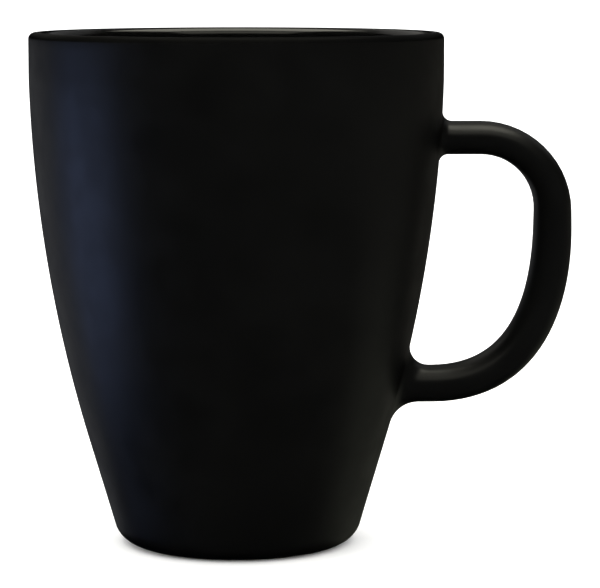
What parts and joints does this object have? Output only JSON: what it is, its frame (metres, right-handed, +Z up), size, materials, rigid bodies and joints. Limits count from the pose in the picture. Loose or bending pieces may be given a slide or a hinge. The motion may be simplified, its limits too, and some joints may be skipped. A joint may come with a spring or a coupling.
{
  "type": "mug",
  "caption": "Tall tapered stoneware mug with a rounded lip and a loop handle, glazed satin black inside and out.",
  "frame": {"origin": "on the plane the mug stands on, under the middle of its footprint with the handle included; the cup's own axis stands 14 mm to the -X side of it", "axes": "+Z up along the cup's axis towards the lip, +X from the cup towards the handle, +Y across the handle"},
  "size_m": [0.1169, 0.089, 0.1105],
  "materials": {
    "stoneware_clay": "matte",
    "joining_slip": "matte",
    "outer_black_glaze": "satin",
    "inner_black_glaze": "gloss"
  },
  "bodies": {
    "root": {"body": "stoneware_clay", "handle": "stoneware_clay", "upper_slip_joint": "joining_slip", "lower_slip_joint": "joining_slip", "outer_glaze": "outer_black_glaze", "liner_glaze": "inner_black_glaze", "recess_glaze": "inner_black_glaze"}
  },
  "joints": []
}
